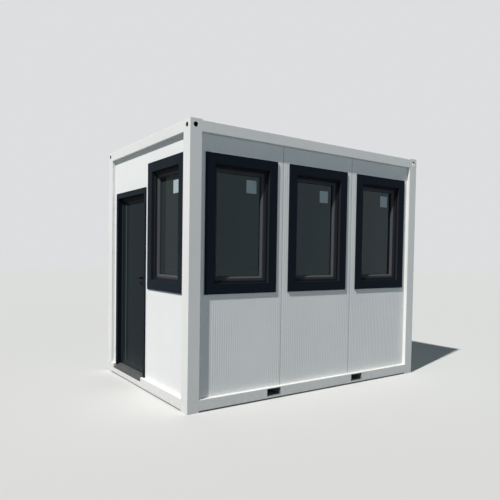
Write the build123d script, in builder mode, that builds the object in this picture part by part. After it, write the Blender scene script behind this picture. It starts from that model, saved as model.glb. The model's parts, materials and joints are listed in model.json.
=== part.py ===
"""Portable office unit: a steel-framed cabin with panel walls, four windows and one door.

Origin: centre of the footprint, at ground level. X runs along the long side, Y along the
short side, Z is up. The front, with three windows, faces -Y. The door end faces -X.
All sizes are in millimetres.
"""
import os
from math import atan, degrees

from build123d import *

# Overall size
length = 3000.0
width = 1980.0
height = 2520.0

# Steel frame
post_size = 120.0
tube_wall = 4.0
beam_height = 100.0
foot_height = 12.0
beam_drop = 6.0
frame_corner_radius = 5.0
fitting_wall = 6.0
fitting_hole_radius = 22.5
fitting_hole_inset = 56.0
fitting_hole_drop = 52.0

# Forklift pockets
pocket_width = 156.0
pocket_height = 66.0
pocket_wall = 3.0
pocket_corner_radius = 5.0
pocket_pitch = 1130.0
pocket_floor_height = 34.0

# Floor
deck_thickness = 18.0
joist_width = 40.0
joist_height = 60.0
joist_pitch = 345.0
joist_count = 7

# Roof
ceiling_thickness = 50.0
roof_sheet_thickness = 2.0
roof_rib_height = 18.0
roof_rib_width = 40.0
roof_rib_taper = 20.0
roof_rib_pitch = 230.0
roof_rib_count = 11

# Wall panels
panel_recess = 37.0
panel_thickness = 60.0
panel_edge_chamfer = 2.0

# Windows: their width and height are what the gaps around them leave free
window_count = 3
window_side_gap = 54.0
window_spacing = 148.0
window_head_gap = 154.0
window_sill_height = 1020.0
window_post_gap = 37.0
window_door_gap = 55.5
window_trim_face = 94.0
trim_proud = 13.0
trim_edge = 1.5
lining_thickness = 3.0
window_frame_setback = 53.0
window_frame_depth = 70.0
window_lip_face = 25.0
window_lip_depth = 20.0
window_lip_bevel = 4.0
sash_face = 32.0
sash_gap = 2.0
sash_overlap = 8.0
sash_depth = 66.0
glass_setback = 28.0
glazing_bevel_width = 12.0
glazing_bevel_depth = 16.0
glass_thickness = 24.0
glass_bite = 10.0
window_handle_drop = 120.0
window_handle_height = 1590.0

# Door
door_trim_width = 811.0
door_trim_top = 2036.0
door_trim_hinge_face = 50.0
door_trim_latch_face = 38.0
door_trim_head_face = 57.0
door_post_gap = 75.0
door_frame_setback = 72.0
door_frame_depth = 48.0
door_lip_face = 34.0
door_lip_depth = 10.0
door_rebate = 18.0
door_gap = 8.0
door_seal_gap = 5.0
leaf_thickness = 40.0
leaf_edge_radius = 2.0
weather_bar_proud = 14.0
weather_bar_height = 48.0
weather_bar_nose = 8.0
weather_bar_end_gap = 12.0
handle_height = 1116.0
handle_inset = 120.0
handle_rose_radius = 25.0
lever_rose_thickness = 8.0
key_rose_thickness = 14.0
key_rose_drop = 58.0
handle_neck_radius = 9.0
lever_length = 102.0
lever_width = 20.0
lever_thickness = 10.0
lever_standoff = 36.0
lever_chamfer = 5.0
hinge_radius = 8.0
hinge_pin_radius = 4.0
hinge_pin_clearance = 0.3
hinge_height = 100.0
hinge_proud = 9.0
hinge_plate_thickness = 3.0
hinge_plate_width = 28.0
hinge_end_distance = 180.0
hinge_count = 3

# Threshold
sill_thickness = 3.0
notch_depth = 44.0

# Worked out from the sizes above
x_face = length / 2
y_face = width / 2
base_top = foot_height + beam_height
beam_top = height - beam_drop
roof_beam_bottom = beam_top - beam_height
deck_bottom = pocket_floor_height + pocket_height + pocket_wall
floor_level = deck_bottom + deck_thickness
x_clear = x_face - post_size
y_clear = y_face - post_size
trim_depth = panel_recess - trim_proud
notch_level = base_top - notch_depth

corners = {"left": -1, "right": 1}
sides = {"front": -1, "back": 1}


def front_plane(depth=0.0):
    """Plane of the front face, moved inward by depth; its x runs along +X, its y is up."""
    return Plane(origin=(0, -y_face + depth, 0), x_dir=(1, 0, 0), z_dir=(0, -1, 0))


def back_plane(depth=0.0):
    """Plane of the back face, moved inward by depth; its x runs along -X, its y is up."""
    return Plane(origin=(0, y_face - depth, 0), x_dir=(-1, 0, 0), z_dir=(0, 1, 0))


def door_plane(depth=0.0):
    """Plane of the door end, moved inward by depth; its x runs along -Y, its y is up."""
    return Plane(origin=(-x_face + depth, 0, 0), x_dir=(0, -1, 0), z_dir=(-1, 0, 0))


def far_plane(depth=0.0):
    """Plane of the far end, moved inward by depth; its x runs along +Y, its y is up."""
    return Plane(origin=(x_face - depth, 0, 0), x_dir=(0, 1, 0), z_dir=(1, 0, 0))


def slab(plane, across, up, depth, mode=Mode.ADD):
    """Extrude a rectangle inward; across and up are its low and high edges on the plane."""
    with BuildSketch(plane) as face:
        with Locations(((across[0] + across[1]) / 2, (up[0] + up[1]) / 2)):
            Rectangle(across[1] - across[0], up[1] - up[0])
    extrude(face.sketch, amount=-depth, mode=mode)


def ring(plane, centre, outer, inner, depth):
    """Extrude a rectangular ring inward; outer and inner are its (width, height) pairs."""
    with BuildSketch(plane) as face:
        with Locations(centre):
            Rectangle(*outer)
            Rectangle(*inner, mode=Mode.SUBTRACT)
    extrude(face.sketch, amount=-depth)


def shrink(size, amount):
    """Take amount off each of the four sides of a (width, height) pair."""
    return (size[0] - 2 * amount, size[1] - 2 * amount)


def square_tube(plane, size, wall, corner_radius, run):
    """Extrude a rectangular tube with rounded outer corners, centred on the plane's origin."""
    with BuildSketch(plane) as section:
        RectangleRounded(*size, corner_radius)
        Rectangle(*shrink(size, wall), mode=Mode.SUBTRACT)
    extrude(section.sketch, amount=run)


def save(part, name):
    """Label a finished piece and write it to its own file."""
    part.label = name
    export_step(part, f"parts/{name}.step")


os.makedirs("parts", exist_ok=True)

# Corner posts: square tubes on a foot plate that holds the frame clear of the ground
for x_name, x_sign in corners.items():
    for y_name, y_sign in sides.items():
        post_x = x_sign * (x_face - post_size / 2)
        post_y = y_sign * (y_face - post_size / 2)
        post_plane = Plane(origin=(post_x, post_y, 0))
        with BuildPart() as post:
            with BuildSketch(post_plane):
                Rectangle(post_size, post_size)
            extrude(amount=roof_beam_bottom)
            fillet(post.edges().filter_by(Axis.Z), frame_corner_radius)
            with BuildSketch(post_plane.offset(foot_height)):
                Rectangle(post_size - 2 * tube_wall, post_size - 2 * tube_wall)
            extrude(amount=roof_beam_bottom - foot_height, mode=Mode.SUBTRACT)
        save(post.part, f"post_{y_name}_{x_name}")

        # Corner fitting: a hollow block with a lifting hole in each outer face
        fitting_height = height - roof_beam_bottom
        hole_level = height - fitting_hole_drop
        with BuildPart() as fitting:
            with BuildSketch(post_plane.offset(roof_beam_bottom)):
                Rectangle(post_size, post_size)
            extrude(amount=fitting_height)
            fillet(fitting.edges().filter_by(Axis.Z), frame_corner_radius)
            with BuildSketch(post_plane.offset(roof_beam_bottom + fitting_wall)):
                Rectangle(post_size - 2 * fitting_wall, post_size - 2 * fitting_wall)
            extrude(amount=fitting_height - 2 * fitting_wall, mode=Mode.SUBTRACT)
            long_face = Plane(
                origin=(x_sign * (x_face - fitting_hole_inset), y_sign * y_face, hole_level),
                z_dir=(0, y_sign, 0),
            )
            end_face = Plane(
                origin=(x_sign * x_face, y_sign * (y_face - fitting_hole_inset), hole_level),
                z_dir=(x_sign, 0, 0),
            )
            for outer_face in (long_face, end_face):
                with BuildSketch(outer_face):
                    Circle(fitting_hole_radius)
                extrude(amount=-fitting_wall, mode=Mode.SUBTRACT)
        save(fitting.part, f"corner_fitting_{y_name}_{x_name}")

# Roof beams between the corner fittings
beam_section = (post_size, beam_height)
roof_beam_middle = roof_beam_bottom + beam_height / 2
for y_name, y_sign in sides.items():
    beam_start = Plane(
        origin=(-x_clear, y_sign * (y_face - post_size / 2), roof_beam_middle),
        x_dir=(0, 1, 0),
        z_dir=(1, 0, 0),
    )
    with BuildPart() as roof_beam:
        square_tube(beam_start, beam_section, tube_wall, frame_corner_radius, 2 * x_clear)
    save(roof_beam.part, f"roof_beam_{y_name}")
for x_name, x_sign in corners.items():
    beam_start = Plane(
        origin=(x_sign * (x_face - post_size / 2), y_clear, roof_beam_middle),
        x_dir=(1, 0, 0),
        z_dir=(0, -1, 0),
    )
    with BuildPart() as roof_beam:
        square_tube(beam_start, beam_section, tube_wall, frame_corner_radius, 2 * y_clear)
    save(roof_beam.part, f"roof_beam_{x_name}")

# Base beams along the long sides, cut through for the forklift pockets
pocket_outer = shrink((pocket_width, pocket_height), -pocket_wall)
pocket_middle = pocket_floor_height + pocket_height / 2
base_middle = foot_height + beam_height / 2
for y_name, y_sign in sides.items():
    beam_start = Plane(
        origin=(-x_clear, y_sign * (y_face - post_size / 2), base_middle),
        x_dir=(0, 1, 0),
        z_dir=(1, 0, 0),
    )
    pocket_face = front_plane() if y_name == "front" else back_plane()
    with BuildPart() as base_beam:
        square_tube(beam_start, beam_section, tube_wall, frame_corner_radius, 2 * x_clear)
        with BuildSketch(pocket_face):
            with Locations((-pocket_pitch / 2, pocket_middle), (pocket_pitch / 2, pocket_middle)):
                RectangleRounded(*pocket_outer, pocket_corner_radius)
        extrude(amount=-post_size, mode=Mode.SUBTRACT)
    save(base_beam.part, f"base_beam_{y_name}")

# Base beam of the far end
beam_start = Plane(
    origin=(x_face - post_size / 2, y_clear, base_middle), x_dir=(1, 0, 0), z_dir=(0, -1, 0)
)
with BuildPart() as base_beam_right:
    square_tube(beam_start, beam_section, tube_wall, frame_corner_radius, 2 * y_clear)
save(base_beam_right.part, "base_beam_right")

# Door opening, in the door plane's own x, which grows towards the front
door_high_x = -y_clear + door_post_gap + door_trim_width
door_low_x = -y_clear + door_post_gap
reveal_low_x = door_low_x + door_trim_hinge_face
reveal_high_x = door_high_x - door_trim_latch_face
reveal_middle_x = (reveal_low_x + reveal_high_x) / 2
reveal_width = reveal_high_x - reveal_low_x
reveal_top = door_trim_top - door_trim_head_face
opening_low_x = reveal_low_x - lining_thickness
opening_high_x = reveal_high_x + lining_thickness
opening_width = opening_high_x - opening_low_x
opening_top = reveal_top + lining_thickness

# Base beam of the door end, with its top cut down in front of the doorway
with BuildPart() as base_beam_left:
    slab(door_plane(), (-y_clear, y_clear), (foot_height, base_top), post_size)
    slab(door_plane(), (door_low_x, reveal_high_x), (notch_level, base_top), post_size, Mode.SUBTRACT)
    slab(
        door_plane(tube_wall),
        (-y_clear, y_clear),
        (foot_height + tube_wall, notch_level - tube_wall),
        post_size - 2 * tube_wall,
        Mode.SUBTRACT,
    )
    for across in ((-y_clear, door_low_x - tube_wall), (reveal_high_x + tube_wall, y_clear)):
        slab(
            door_plane(tube_wall),
            across,
            (foot_height + tube_wall, base_top - tube_wall),
            post_size - 2 * tube_wall,
            Mode.SUBTRACT,
        )
    outer_edges = base_beam_left.edges().filter_by(Axis.Y).group_by(Axis.X)[0]
    fillet(outer_edges, frame_corner_radius)
save(base_beam_left.part, "base_beam_left")

# Forklift pockets: tubes that run through from the front to the back
for pocket_name, pocket_sign in corners.items():
    pocket_start = Plane(
        origin=(pocket_sign * pocket_pitch / 2, y_face, pocket_middle),
        x_dir=(1, 0, 0),
        z_dir=(0, -1, 0),
    )
    with BuildPart() as pocket:
        square_tube(pocket_start, pocket_outer, pocket_wall, pocket_corner_radius, width)
    save(pocket.part, f"fork_pocket_{pocket_name}")

# Floor joists and deck
with BuildPart() as floor_joists:
    with BuildSketch(Plane.XY.offset(deck_bottom)):
        with GridLocations(joist_pitch, 1, joist_count, 1):
            Rectangle(joist_width, 2 * y_clear)
    extrude(amount=-joist_height)
save(floor_joists.part, "floor_joists")

with BuildPart() as floor_deck:
    with BuildSketch(Plane.XY.offset(deck_bottom)):
        Rectangle(2 * x_clear, 2 * y_clear)
    extrude(amount=deck_thickness)
save(floor_deck.part, "floor_deck")

# Door sill: a folded sheet that climbs from the notch to the floor
slope_break = (panel_recess, base_top)
with BuildPart() as door_sill:
    front_start = Plane(origin=(-x_face, -reveal_high_x, 0), x_dir=(1, 0, 0), z_dir=(0, -1, 0))
    with BuildSketch(front_start):
        with BuildLine():
            Polyline(
                (0, notch_level),
                (0, notch_level + sill_thickness),
                slope_break,
                (panel_recess, base_top - 2 * sill_thickness),
                (sill_thickness, notch_level),
                close=True,
            )
        make_face()
    extrude(amount=-(reveal_high_x - door_low_x))
    with BuildSketch(front_start):
        with BuildLine():
            Polyline(
                slope_break,
                (door_frame_setback, floor_level),
                (post_size, floor_level),
                (post_size, floor_level - sill_thickness),
                (door_frame_setback, floor_level - sill_thickness),
                (panel_recess, base_top - 2 * sill_thickness),
                close=True,
            )
        make_face()
    extrude(amount=-reveal_width)
save(door_sill.part, "door_sill")

# Roof: an insulated ceiling between the beams, with a ribbed sheet on it
with BuildPart() as ceiling_panel:
    with BuildSketch(Plane.XY.offset(roof_beam_bottom)):
        Rectangle(2 * x_clear, 2 * y_clear)
    extrude(amount=ceiling_thickness)
save(ceiling_panel.part, "ceiling_panel")

sheet_bottom = roof_beam_bottom + ceiling_thickness
with BuildPart() as roof_sheet:
    with BuildSketch(Plane.XY.offset(sheet_bottom)):
        Rectangle(2 * x_clear, 2 * y_clear)
    extrude(amount=roof_sheet_thickness)
    with BuildSketch(Plane.XY.offset(sheet_bottom + roof_sheet_thickness)):
        with GridLocations(roof_rib_pitch, 1, roof_rib_count, 1):
            Rectangle(roof_rib_width, 2 * y_clear)
    extrude(amount=roof_rib_height, taper=roof_rib_taper)
save(roof_sheet.part, "roof_sheet")

# Windows: the plane of the wall, the middle on that plane, and each ring from outside to glass
front_window_width = (
    2 * x_clear - 2 * window_side_gap - (window_count - 1) * window_spacing
) / window_count
window_pitch = front_window_width + window_spacing
window_height = roof_beam_bottom - window_head_gap - window_sill_height
window_middle_height = window_sill_height + window_height / 2
front_window_middles = [
    (index - (window_count - 1) / 2) * window_pitch for index in range(window_count)
]
end_window_low_x = door_high_x + window_door_gap
end_window_high_x = y_clear - window_post_gap
end_window_x = (end_window_low_x + end_window_high_x) / 2
window_places = [(front_plane, middle_x, front_window_width) for middle_x in front_window_middles]
window_places.append((door_plane, end_window_x, end_window_high_x - end_window_low_x))

windows = []
for wall_plane, middle_x, window_width in window_places:
    trim = (window_width, window_height)
    reveal = shrink(trim, window_trim_face)
    lip = shrink(reveal, window_lip_face)
    glazing = shrink(lip, sash_face)
    sash = shrink(lip, -sash_overlap)
    windows.append(
        {
            "plane": wall_plane,
            "middle": (middle_x, window_middle_height),
            "trim": trim,
            "reveal": reveal,
            "opening": shrink(reveal, -lining_thickness),
            "lip": lip,
            "glazing": glazing,
            "sash": sash,
            "sash_room": shrink(sash, -sash_gap),
            "pane": shrink(glazing, -glass_bite),
        }
    )

sash_front = window_frame_setback + window_lip_depth
glass_front = sash_front + glass_setback


def outer_faces(rings):
    """Return the faces of the window rings that look straight out of the front and door end."""
    return rings.faces().group_by(Axis.Y)[0] + rings.faces().group_by(Axis.X)[0]


with BuildPart() as window_trims:
    for window in windows:
        front = window["plane"](trim_depth)
        ring(front, window["middle"], window["trim"], window["reveal"], trim_proud)
        lining_depth = window_frame_setback - trim_depth
        ring(front, window["middle"], window["opening"], window["reveal"], lining_depth)
    chamfer(ShapeList(outer_faces(window_trims)).edges(), trim_edge)
save(window_trims.part, "window_trims")

with BuildPart() as window_frames:
    for window in windows:
        front = window["plane"](window_frame_setback)
        ring(front, window["middle"], window["opening"], window["lip"], window_lip_depth)
        rebate_depth = window_frame_depth - window_lip_depth
        rebate = window["plane"](sash_front)
        ring(rebate, window["middle"], window["opening"], window["sash_room"], rebate_depth)
    lip_holes = [face.inner_wires()[0] for face in outer_faces(window_frames)]
    chamfer(ShapeList(lip_holes).edges(), window_lip_bevel)
save(window_frames.part, "window_frames")

# Each sash holds its pane in a groove; the edge outside the pane is bevelled towards the glass
with BuildPart() as window_sashes:
    for window in windows:
        front = window["plane"](sash_front)
        ring(front, window["middle"], window["sash"], window["glazing"], glass_setback)
        groove = window["plane"](glass_front)
        ring(groove, window["middle"], window["sash"], window["pane"], glass_thickness)
        back = window["plane"](glass_front + glass_thickness)
        bead_depth = sash_depth - glass_setback - glass_thickness
        ring(back, window["middle"], window["sash"], window["glazing"], bead_depth)
        with BuildSketch(front) as bevel_mouth:
            with Locations(window["middle"]):
                Rectangle(*shrink(window["glazing"], -glazing_bevel_width))
        extrude(
            bevel_mouth.sketch,
            amount=-glazing_bevel_depth,
            taper=degrees(atan(glazing_bevel_width / glazing_bevel_depth)),
            mode=Mode.SUBTRACT,
        )
save(window_sashes.part, "window_sashes")

with BuildPart() as window_panes:
    for window in windows:
        with BuildSketch(window["plane"](glass_front)) as pane_face:
            with Locations(window["middle"]):
                Rectangle(*window["pane"])
        extrude(pane_face.sketch, amount=-glass_thickness)
save(window_panes.part, "window_panes")

# Window handles on the inner face of each sash, lever hanging down
handle_face = sash_front + sash_depth
rosette_size = (28.0, 70.0)
rosette_corner_radius = 9.0
rosette_thickness = 10.0
neck_radius = 8.0
neck_length = 34.0
window_lever_width = 20.0
window_lever_thickness = 12.0
window_lever_chamfer = 5.0
with BuildPart() as window_handles:
    for window in windows:
        stile_middle = (window["glazing"][0] + window["sash"][0]) / 4
        pivot = (window["middle"][0] + stile_middle, window_handle_height)
        with BuildSketch(window["plane"](handle_face)) as rosette:
            with Locations(pivot):
                RectangleRounded(*rosette_size, rosette_corner_radius)
        extrude(rosette.sketch, amount=-rosette_thickness)
        with BuildSketch(window["plane"](handle_face + rosette_thickness)) as neck:
            with Locations(pivot):
                Circle(neck_radius)
        extrude(neck.sketch, amount=-neck_length)
        lever_middle = (pivot[0], pivot[1] - (window_handle_drop - window_lever_width) / 2)
        lever_face = handle_face + rosette_thickness + neck_length
        with BuildSketch(window["plane"](lever_face)) as lever:
            with Locations(lever_middle):
                Rectangle(window_lever_width, window_handle_drop)
            chamfer(lever.vertices(), window_lever_chamfer)
        extrude(lever.sketch, amount=-window_lever_thickness)
save(window_handles.part, "window_handles")


def panel(plane, across, up, window=None):
    """Return a wall panel with chamfered side edges and its window's opening cut through."""
    with BuildPart() as wall_panel:
        slab(plane(panel_recess), across, up, panel_thickness)
        outward = Axis(plane().origin, plane().z_dir)
        outer_face = wall_panel.faces().sort_by(outward)[-1]
        chamfer(outer_face.edges().filter_by(Axis.Z), panel_edge_chamfer)
        if window:
            with BuildSketch(plane(panel_recess)) as hole:
                with Locations(window["middle"]):
                    Rectangle(*window["opening"])
            extrude(hole.sketch, amount=-panel_thickness, mode=Mode.SUBTRACT)
    return wall_panel.part


wall_span = (base_top, roof_beam_bottom)
inner_joints = [middle_x + window_pitch / 2 for middle_x in front_window_middles[:-1]]
long_joints = [-x_clear, *inner_joints, x_clear]
for index, across in enumerate(zip(long_joints, long_joints[1:])):
    save(panel(front_plane, across, wall_span, windows[index]), f"front_panel_{index + 1}")
    save(panel(back_plane, across, wall_span), f"back_panel_{index + 1}")
save(panel(far_plane, (-y_clear, 0), wall_span), "right_panel_1")
save(panel(far_plane, (0, y_clear), wall_span), "right_panel_2")

# Door end: a window panel, a panel over the doorway and a strip beside it
over_door_span = (opening_top, roof_beam_bottom)
door_side_span = (base_top, opening_top)
save(panel(door_plane, (opening_high_x, y_clear), wall_span, windows[-1]), "left_window_panel")
save(panel(door_plane, (-y_clear, opening_high_x), over_door_span), "over_door_panel")
save(panel(door_plane, (-y_clear, opening_low_x), door_side_span), "door_side_panel")

# Door trim: a flashing round three sides, with a lining back to the frame
with BuildPart() as door_trim:
    slab(door_plane(trim_depth), (door_low_x, door_high_x), (base_top, door_trim_top), trim_proud)
    slab(
        door_plane(trim_depth),
        (opening_low_x, opening_high_x),
        (floor_level, opening_top),
        door_frame_setback - trim_depth,
    )
    slab(
        door_plane(trim_depth),
        (reveal_low_x, reveal_high_x),
        (base_top, reveal_top),
        door_frame_setback - trim_depth,
        Mode.SUBTRACT,
    )
    chamfer(door_trim.faces().group_by(Axis.X)[0].edges(), trim_edge)
save(door_trim.part, "door_trim")

# Door frame: lip outside, rebate for the leaf behind it
lip_low_x = reveal_low_x + door_lip_face
lip_high_x = reveal_high_x - door_lip_face
lip_top = reveal_top - door_lip_face
rebate_back = door_frame_depth - door_lip_depth
with BuildPart() as door_frame:
    slab(
        door_plane(door_frame_setback),
        (opening_low_x, opening_high_x),
        (floor_level, opening_top),
        door_frame_depth,
    )
    slab(
        door_plane(door_frame_setback),
        (lip_low_x, lip_high_x),
        (floor_level, lip_top),
        door_lip_depth,
        Mode.SUBTRACT,
    )
    slab(
        door_plane(door_frame_setback + door_lip_depth),
        (lip_low_x - door_rebate, lip_high_x + door_rebate),
        (floor_level, lip_top + door_rebate),
        rebate_back,
        Mode.SUBTRACT,
    )
save(door_frame.part, "door_frame")

# Door leaf
leaf_front = door_frame_setback + door_lip_depth + door_seal_gap
leaf_low_x = lip_low_x - door_rebate + door_gap
leaf_high_x = lip_high_x + door_rebate - door_gap
leaf_bottom = floor_level + door_gap
leaf_top = lip_top + door_rebate - door_gap
with BuildPart() as door_leaf:
    slab(door_plane(leaf_front), (leaf_low_x, leaf_high_x), (leaf_bottom, leaf_top), leaf_thickness)
    fillet(door_leaf.edges().filter_by(Axis.Z), leaf_edge_radius)
save(door_leaf.part, "door_leaf")

# Weather bar along the foot of the leaf, sloped so that rain runs off it
bar_low_x = lip_low_x + weather_bar_end_gap
bar_high_x = lip_high_x - weather_bar_end_gap
bar_front = leaf_front - weather_bar_proud
bar_start = Plane(origin=(-x_face, -bar_high_x, leaf_bottom), x_dir=(1, 0, 0), z_dir=(0, -1, 0))
with BuildPart() as weather_bar:
    with BuildSketch(bar_start):
        with BuildLine():
            Polyline(
                (leaf_front, 0),
                (leaf_front, weather_bar_height),
                (bar_front, weather_bar_nose),
                (bar_front, 0),
                close=True,
            )
        make_face()
    extrude(amount=-(bar_high_x - bar_low_x))
save(weather_bar.part, "weather_bar")

# Door handles, one set on each face of the leaf: a lever on a round rose, a key rose below
handle_x = leaf_high_x - handle_inset
key_height = handle_height - key_rose_drop
with BuildPart() as door_handles:
    for face_depth, outward in ((leaf_front, 1), (leaf_front + leaf_thickness, -1)):
        with BuildSketch(door_plane(face_depth)) as lever_rose:
            with Locations((handle_x, handle_height)):
                Circle(handle_rose_radius)
        extrude(lever_rose.sketch, amount=outward * lever_rose_thickness)
        with BuildSketch(door_plane(face_depth)) as key_rose:
            with Locations((handle_x, key_height)):
                Circle(handle_rose_radius)
        extrude(key_rose.sketch, amount=outward * key_rose_thickness)
        with BuildSketch(door_plane(face_depth)) as neck:
            with Locations((handle_x, handle_height)):
                Circle(handle_neck_radius)
        extrude(neck.sketch, amount=outward * lever_standoff)
        with BuildSketch(door_plane(face_depth - outward * lever_standoff)) as lever:
            with Locations((handle_x - (lever_length - lever_width) / 2, handle_height)):
                Rectangle(lever_length, lever_width)
            chamfer(lever.vertices(), lever_chamfer)
        extrude(lever.sketch, amount=outward * lever_thickness)
save(door_handles.part, "door_handles")

# Hinges at the inner face of the leaf, on the side of the back post
hinge_x = leaf_low_x - door_gap / 2
hinge_depth = leaf_front + leaf_thickness + hinge_proud
hinge_axis_x = -x_face + hinge_depth
hinge_axis_y = -hinge_x
hinge_low = leaf_bottom + hinge_end_distance
hinge_step = (leaf_top - leaf_bottom - 2 * hinge_end_distance) / (hinge_count - 1)
hinge_levels = [hinge_low + index * hinge_step for index in range(hinge_count)]
knuckle_height = hinge_height / 2
frame_back = door_frame_setback + door_frame_depth
leaf_back = leaf_front + leaf_thickness

with BuildPart() as frame_hinges:
    for level in hinge_levels:
        with BuildSketch(Plane(origin=(hinge_axis_x, hinge_axis_y, level))) as knuckle:
            Circle(hinge_radius)
        extrude(knuckle.sketch, amount=-knuckle_height)
        with BuildSketch(Plane(origin=(hinge_axis_x, hinge_axis_y, level))) as pin:
            Circle(hinge_pin_radius)
        extrude(pin.sketch, amount=knuckle_height)
        slab(
            door_plane(frame_back),
            (hinge_x - hinge_plate_width, hinge_x - door_gap / 2),
            (level - knuckle_height, level - hinge_pin_clearance),
            hinge_depth - frame_back - hinge_radius / 2,
        )
save(frame_hinges.part, "frame_hinges")

with BuildPart() as leaf_hinges:
    for level in hinge_levels:
        knuckle_foot = Plane(origin=(hinge_axis_x, hinge_axis_y, level + hinge_pin_clearance))
        with BuildSketch(knuckle_foot) as knuckle:
            Circle(hinge_radius)
            Circle(hinge_pin_radius + hinge_pin_clearance, mode=Mode.SUBTRACT)
        extrude(knuckle.sketch, amount=knuckle_height - hinge_pin_clearance)
        slab(
            door_plane(leaf_back),
            (hinge_x + door_gap / 2, hinge_x + hinge_plate_width),
            (level + hinge_pin_clearance, level + knuckle_height),
            hinge_plate_thickness,
        )
save(leaf_hinges.part, "leaf_hinges")
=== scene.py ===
"""The look of a portable office unit: finishes, wall ribs, seals and small fittings.

All lengths are in metres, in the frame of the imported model: X along the front, Z up.
"""
import json
import math

import bmesh
import bpy
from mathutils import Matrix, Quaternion, Vector


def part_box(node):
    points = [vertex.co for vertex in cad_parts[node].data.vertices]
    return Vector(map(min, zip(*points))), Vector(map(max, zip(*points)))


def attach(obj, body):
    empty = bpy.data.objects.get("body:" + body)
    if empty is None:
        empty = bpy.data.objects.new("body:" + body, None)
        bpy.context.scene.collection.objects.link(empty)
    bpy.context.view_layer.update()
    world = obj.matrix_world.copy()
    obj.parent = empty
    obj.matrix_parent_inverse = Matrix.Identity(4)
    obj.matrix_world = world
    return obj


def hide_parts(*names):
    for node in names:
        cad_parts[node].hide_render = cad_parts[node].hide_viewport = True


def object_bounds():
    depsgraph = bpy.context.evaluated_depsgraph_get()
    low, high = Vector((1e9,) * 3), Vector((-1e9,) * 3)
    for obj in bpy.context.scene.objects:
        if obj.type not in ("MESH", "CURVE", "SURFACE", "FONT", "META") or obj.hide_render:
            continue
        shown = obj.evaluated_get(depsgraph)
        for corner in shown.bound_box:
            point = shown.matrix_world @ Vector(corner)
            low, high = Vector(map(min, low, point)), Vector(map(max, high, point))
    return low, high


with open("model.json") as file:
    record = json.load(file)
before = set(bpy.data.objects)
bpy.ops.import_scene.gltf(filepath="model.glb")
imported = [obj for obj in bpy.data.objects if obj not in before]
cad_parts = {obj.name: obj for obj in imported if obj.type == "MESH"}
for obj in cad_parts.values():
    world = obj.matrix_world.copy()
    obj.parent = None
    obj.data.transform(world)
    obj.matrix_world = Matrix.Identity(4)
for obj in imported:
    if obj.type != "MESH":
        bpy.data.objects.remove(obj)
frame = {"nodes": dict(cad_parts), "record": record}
cad_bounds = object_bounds()
nodes = frame["nodes"]

MM = 0.001
UP = Vector((0, 0, 1))
HALF_LENGTH = cad_bounds[1].x
HALF_WIDTH = cad_bounds[1].y
FULL_HEIGHT = cad_bounds[1].z

# Camera, solved from the edges of the frame in the photo
IMAGE_SIZE = 500.0
FOCAL_PIXELS = 503.4
OPTICAL_CENTRE_Y = 271.8
SENSOR_WIDTH = 36.0
CAMERA_PLACE = (-3.506, -4.767, 1.375)
CAMERA_AZIMUTH = math.radians(34.95)
CAMERA_PITCH = math.radians(-1.94)
CAMERA_ROLL = math.radians(0.88)
VIEW_LIMIT = 200.0

# Light: one key lamp, and a fill that fades upward, stronger behind and in front of the unit
KEY_DIRECTION = (2.83, 0.87, -3.7)
KEY_STRENGTH = 4.2
KEY_COLOUR = (1.0, 0.99, 0.97)
KEY_SOFTNESS = math.radians(1.5)
FILL_COLOUR = (0.70, 0.89, 1.0)
FILL_HORIZON = 0.23
FILL_ZENITH = 0.0
FILL_BEHIND = 1.12
BEHIND = (0.6, 0.8, 0.0)
FILL_IN_FRONT = 0.58
IN_FRONT = (0.34, -0.94, 0.0)
LOBE_TOP = 0.6
BACKDROP_SHOWN = (0.72, 0.73, 0.74)

# Floor: what it throws back onto the unit, and what the camera sees of it
FLOOR_BOUNCE = (0.14, 0.15, 0.16)
FLOOR_SHOWN = (0.62, 0.62, 0.61)
FLOOR_SIZE = 80.0

# Wall panels: ribs, and the sealed joints between panels
RIB_PITCH = 24.0 * MM
RIB_WIDTH = 15.0 * MM
RIB_SLOPE = 3.0 * MM
RIB_HEIGHT = 0.9 * MM
RIB_SINK = 0.5 * MM
PANEL_EDGE = 9.0 * MM
PANEL_DEPTH = 37.0 * MM
RIB_TUCK = 20.0 * MM
JOINT_HALF_WIDTH = 1.6 * MM
JOINT_FRONT = PANEL_DEPTH + 0.3 * MM
JOINT_BACK = PANEL_DEPTH + 1.5 * MM

# Windows, as in the model; depths are counted back from the frame's outer face
WINDOW_WIDTH = 785.333 * MM
WINDOW_PITCH = 933.333 * MM
END_WINDOW_WIDTH = 761.5 * MM
END_WINDOW_MIDDLE = 452.25 * MM
WINDOW_FOOT = 1020.0 * MM
WINDOW_HEIGHT = 1240.0 * MM
TRIM_FACE = 94.0 * MM
TRIM_DEPTH = 24.0 * MM
LIP_FACE = 25.0 * MM
LIP_FRONT = 53.0 * MM
LIP_BACK = 73.0 * MM
SASH_FACE = 32.0 * MM
SASH_OVERLAP = 8.0 * MM
SASH_BACK = 139.0 * MM
BEVEL_WIDTH = 12.0 * MM
BEVEL_DEPTH = 16.0 * MM
GLASS_DEPTH = 101.0 * MM
GLASS_THICKNESS = 24.0 * MM
GLASS_BACK = GLASS_DEPTH + GLASS_THICKNESS
WINDOW_HANDLE_HEIGHT = 1590.0 * MM
WINDOW_MIDDLE = WINDOW_FOOT + WINDOW_HEIGHT / 2

# Each window: its wall, its middle along the wall, its width, and the label's place on the
# glass, as its distance from the right edge and from the top edge
WINDOWS = [
    ("front", -WINDOW_PITCH, WINDOW_WIDTH, (45.0 * MM, 40.0 * MM)),
    ("front", 0.0, WINDOW_WIDTH, (58.0 * MM, 62.0 * MM)),
    ("front", WINDOW_PITCH, WINDOW_WIDTH, (60.0 * MM, 45.0 * MM)),
    ("left", END_WINDOW_MIDDLE, END_WINDOW_WIDTH, (82.0 * MM, 52.0 * MM)),
]
LABEL_SIZE = (114.0 * MM, 122.0 * MM)
LABEL_GAP = 0.1 * MM

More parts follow.
